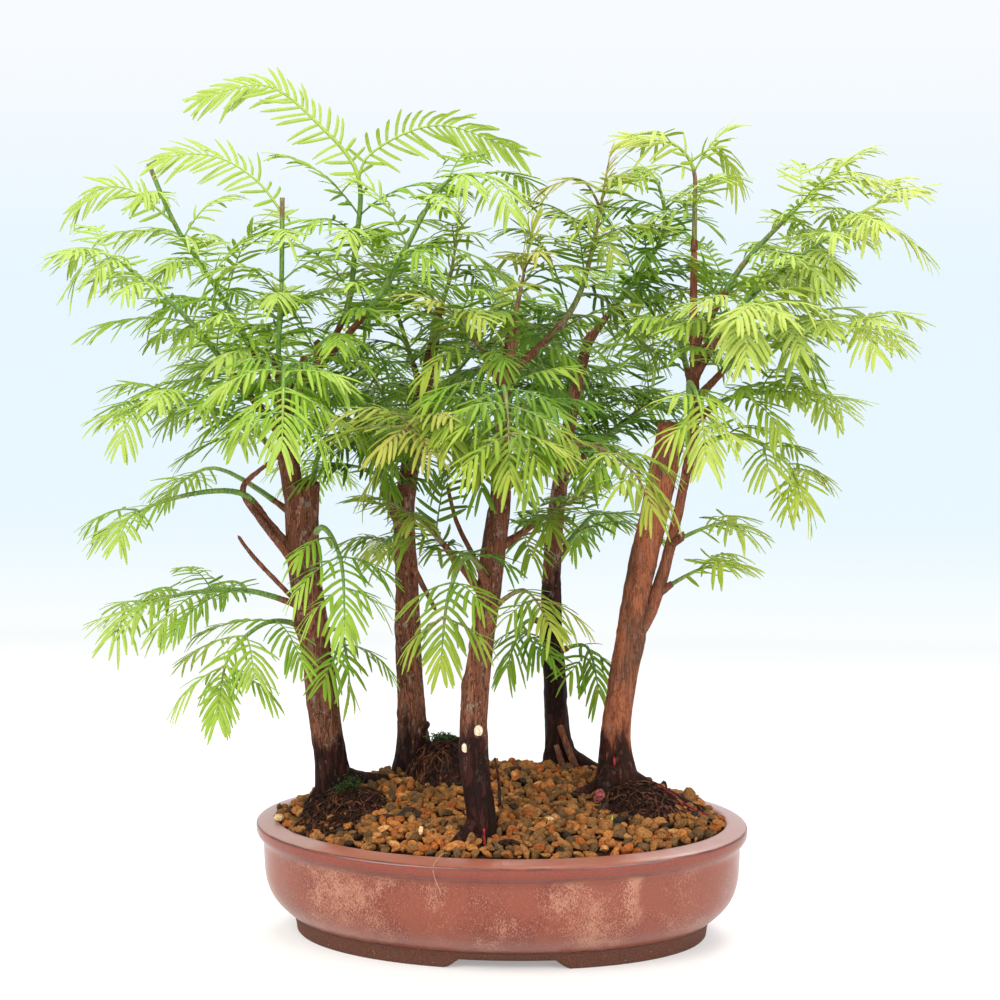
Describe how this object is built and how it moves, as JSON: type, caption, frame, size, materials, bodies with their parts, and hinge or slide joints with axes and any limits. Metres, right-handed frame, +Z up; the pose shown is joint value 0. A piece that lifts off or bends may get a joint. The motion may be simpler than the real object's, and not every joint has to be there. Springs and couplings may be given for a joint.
{
  "type": "bonsai forest in an oval tray",
  "caption": "Dawn redwood bonsai forest: rough tapering trunks with leafy shoots and feathery fronds, planted in gritty soil in a glazed oval tray on a bare clay foot.",
  "frame": {"origin": "centre of the whole part's box, on the plane that the tray's foot stands on; the tray's own centre lies 3 mm to its right", "axes": "+Z up, +X to the right along the tray's length as seen from the front, +Y towards the back"},
  "size_m": [0.43, 0.317, 0.4311],
  "materials": {
    "glaze": "reddish-brown glaze with cream speckled flow, over a bare brown clay foot",
    "grit": "loose ochre, tan and grey grit, dark where roots mat it",
    "mesh_plastic": "black moulded drain mesh",
    "bark": "flaking red-brown bark, near black at the base",
    "leaf_green": "soft green leaflets, brighter and yellower at the tips",
    "leaf_bronze": "new leaflets flushed bronze and olive",
    "leaf_yellow": "bright yellow-green leaflets, see-through against the light"
  },
  "bodies": {
    "root": {"pot": "glaze", "soil": "grit", "drain_mesh_left": "mesh_plastic", "drain_mesh_right": "mesh_plastic", "trunk_left": "bark", "trunk_back_left": "bark", "trunk_front": "bark", "trunk_back_right": "bark", "trunk_right": "bark", "leafy_shoot_left_1": "leaf_green", "leafy_shoot_left_2": "leaf_green", "leafy_shoot_left_3": "leaf_green", "leafy_shoot_left_4": "leaf_green", "leafy_shoot_left_5": "leaf_green", "leafy_shoot_left_6": "leaf_green", "leafy_shoot_left_7": "leaf_green", "leafy_shoot_left_8": "leaf_green", "leafy_shoot_left_9": "leaf_green", "leafy_shoot_left_10": "leaf_green", "leafy_shoot_left_11": "leaf_green", "leafy_shoot_left_12": "leaf_green", "leafy_shoot_left_13": "leaf_green", "leafy_shoot_left_14": "leaf_green", "leafy_shoot_left_15": "leaf_green", "leafy_shoot_back_left_1": "leaf_green", "leafy_shoot_back_left_2": "leaf_green", "leafy_shoot_back_left_3": "leaf_green", "leafy_shoot_back_left_4": "leaf_green", "leafy_shoot_back_left_5": "leaf_green", "leafy_shoot_back_left_6": "leaf_green", "leafy_shoot_back_left_7": "leaf_green", "leafy_shoot_front_1": "leaf_bronze", "leafy_shoot_front_2": "leaf_green", "leafy_shoot_front_3": "leaf_bronze", "leafy_shoot_front_4": "leaf_green", "leafy_shoot_front_5": "leaf_bronze", "leafy_shoot_front_6": "leaf_green", "leafy_shoot_front_7": "leaf_green", "leafy_shoot_front_8": "leaf_green", "leafy_shoot_front_9": "leaf_bronze", "leafy_shoot_front_10": "leaf_bronze", "leafy_shoot_back_right_1": "leaf_green", "leafy_shoot_back_right_2": "leaf_green", "leafy_shoot_back_right_3": "leaf_green", "leafy_shoot_back_right_4": "leaf_green", "leafy_shoot_back_right_5": "leaf_green", "leafy_shoot_back_right_6": "leaf_green", "leafy_shoot_back_right_7": "leaf_green", "leafy_shoot_right_1": "leaf_yellow", "leafy_shoot_right_2": "leaf_yellow", "leafy_shoot_right_3": "leaf_yellow", "leafy_shoot_right_4": "leaf_yellow", "leafy_shoot_right_5": "leaf_yellow", "leafy_shoot_right_6": "leaf_yellow", "leafy_shoot_right_7": "leaf_yellow", "leafy_shoot_right_8": "leaf_yellow", "leafy_shoot_right_9": "leaf_yellow", "leafy_shoot_right_10": "leaf_yellow", "leafy_shoot_right_11": "leaf_yellow", "leafy_shoot_right_12": "leaf_yellow"}
  },
  "joints": []
}
